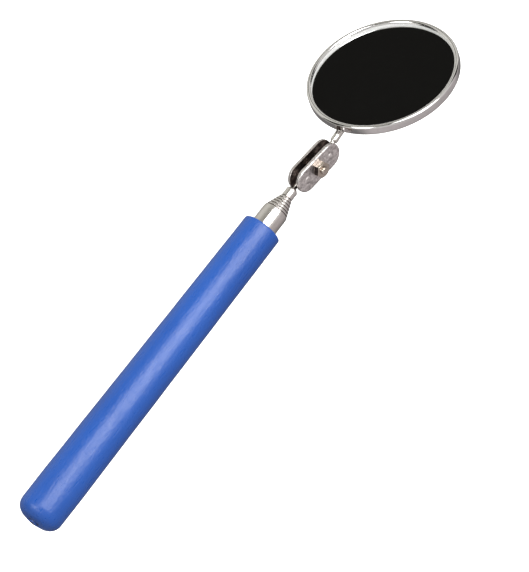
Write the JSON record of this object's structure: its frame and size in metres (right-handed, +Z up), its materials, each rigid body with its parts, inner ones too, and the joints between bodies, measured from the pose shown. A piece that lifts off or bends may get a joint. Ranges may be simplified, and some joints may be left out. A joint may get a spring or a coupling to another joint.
{
  "type": "telescoping inspection mirror",
  "caption": "Hand inspection mirror: a round framed glass on a ball-jointed link, carried by nested steel tubes that pull out of a dipped vinyl grip.",
  "frame": {"origin": "on the tool's axis, at the middle of the straight stretch at the tail of the grip", "axes": "+X along the tool from the grip's closed tail to the mirror, +Z up out of the mirror's face, +Y sideways along the clamp screw"},
  "size_m": [0.2381, 0.0572, 0.0174],
  "materials": {
    "grip_vinyl": "soft dipped vinyl, satin, with faint flow waves",
    "tube_steel": "drawn and polished stainless steel",
    "sleeve_brass": "thin sprung sheet brass",
    "ball_steel": "ground and polished steel ball",
    "plate_steel": "tumbled pressed steel with soft edges",
    "fastener_steel": "plated steel with a pale warm tint",
    "stem_steel": "bright drawn stainless rod",
    "rim_steel": "polished stainless sheet, rolled over the glass",
    "mirror_face": "silvered glass",
    "pad_card": "thin pressed card"
  },
  "bodies": {
    "handle": {"grip": "grip_vinyl", "outer_tube": "tube_steel", "tail_plug": "tube_steel"},
    "section_2": {"tube_2": "tube_steel", "friction_sleeve_2": "sleeve_brass"},
    "section_3": {"tube_3": "tube_steel", "friction_sleeve_3": "sleeve_brass"},
    "section_4": {"tube_4": "tube_steel", "friction_sleeve_4": "sleeve_brass"},
    "section_5": {"tube_5": "tube_steel", "friction_sleeve_5": "sleeve_brass"},
    "section_6": {"tube_6": "tube_steel", "friction_sleeve_6": "sleeve_brass"},
    "sleeve_7": {"friction_sleeve_7": "sleeve_brass"},
    "section_7": {"tube_7": "tube_steel", "neck_pin": "tube_steel"},
    "lower_joint_ball": {"lower_ball": "ball_steel"},
    "link": {"plate_front": "plate_steel", "plate_back": "plate_steel", "clamp_screw": "fastener_steel", "clamp_nut": "fastener_steel"},
    "upper_joint_ball": {"upper_ball": "ball_steel"},
    "mirror_head": {"mirror_stem": "stem_steel", "mirror_housing": "rim_steel", "mirror_glass": "mirror_face", "backing_pad": "pad_card"}
  },
  "joints": [
    {"name": "slide_2", "type": "slide", "parent": "handle", "child": "section_2", "axis": [1, 0, 0], "range_m": [0, 0.1143]},
    {"name": "slide_3", "type": "slide", "parent": "section_2", "child": "section_3", "axis": [1, 0, 0], "range_m": [0, 0.1143]},
    {"name": "slide_4", "type": "slide", "parent": "section_3", "child": "section_4", "axis": [1, 0, 0], "range_m": [0, 0.1143]},
    {"name": "slide_5", "type": "slide", "parent": "section_4", "child": "section_5", "axis": [1, 0, 0], "range_m": [0, 0.1143]},
    {"name": "slide_6", "type": "slide", "parent": "section_5", "child": "section_6", "axis": [1, 0, 0], "range_m": [0, 0.1143]},
    {"name": "slide_7", "type": "slide", "parent": "section_6", "child": "sleeve_7", "axis": [1, 0, 0], "range_m": [0, 0.1143]},
    {"name": "head_turn", "type": "hinge", "parent": "sleeve_7", "child": "section_7", "pos_m": [0.02, 0, 0], "axis": [1, 0, 0], "continuous": true},
    {"name": "lower_swing", "type": "hinge", "parent": "section_7", "child": "lower_joint_ball", "pos_m": [0.1488, 0, 0], "axis": [0, -1, 0], "range_deg": [-95, 110]},
    {"name": "lower_tilt", "type": "hinge", "parent": "lower_joint_ball", "child": "link", "pos_m": [0.1488, 0, 0], "axis": [0.1392, 0, 0.9903], "range_deg": [-6, 6]},
    {"name": "upper_swing", "type": "hinge", "parent": "link", "child": "upper_joint_ball", "pos_m": [0.16118, 0, -0.00174], "axis": [0, 1, 0], "range_deg": [-105, 105]},
    {"name": "stem_spin", "type": "hinge", "parent": "upper_joint_ball", "child": "mirror_head", "pos_m": [0.16118, 0, -0.00174], "axis": [0.9948, 0, 0.1014], "continuous": true}
  ]
}
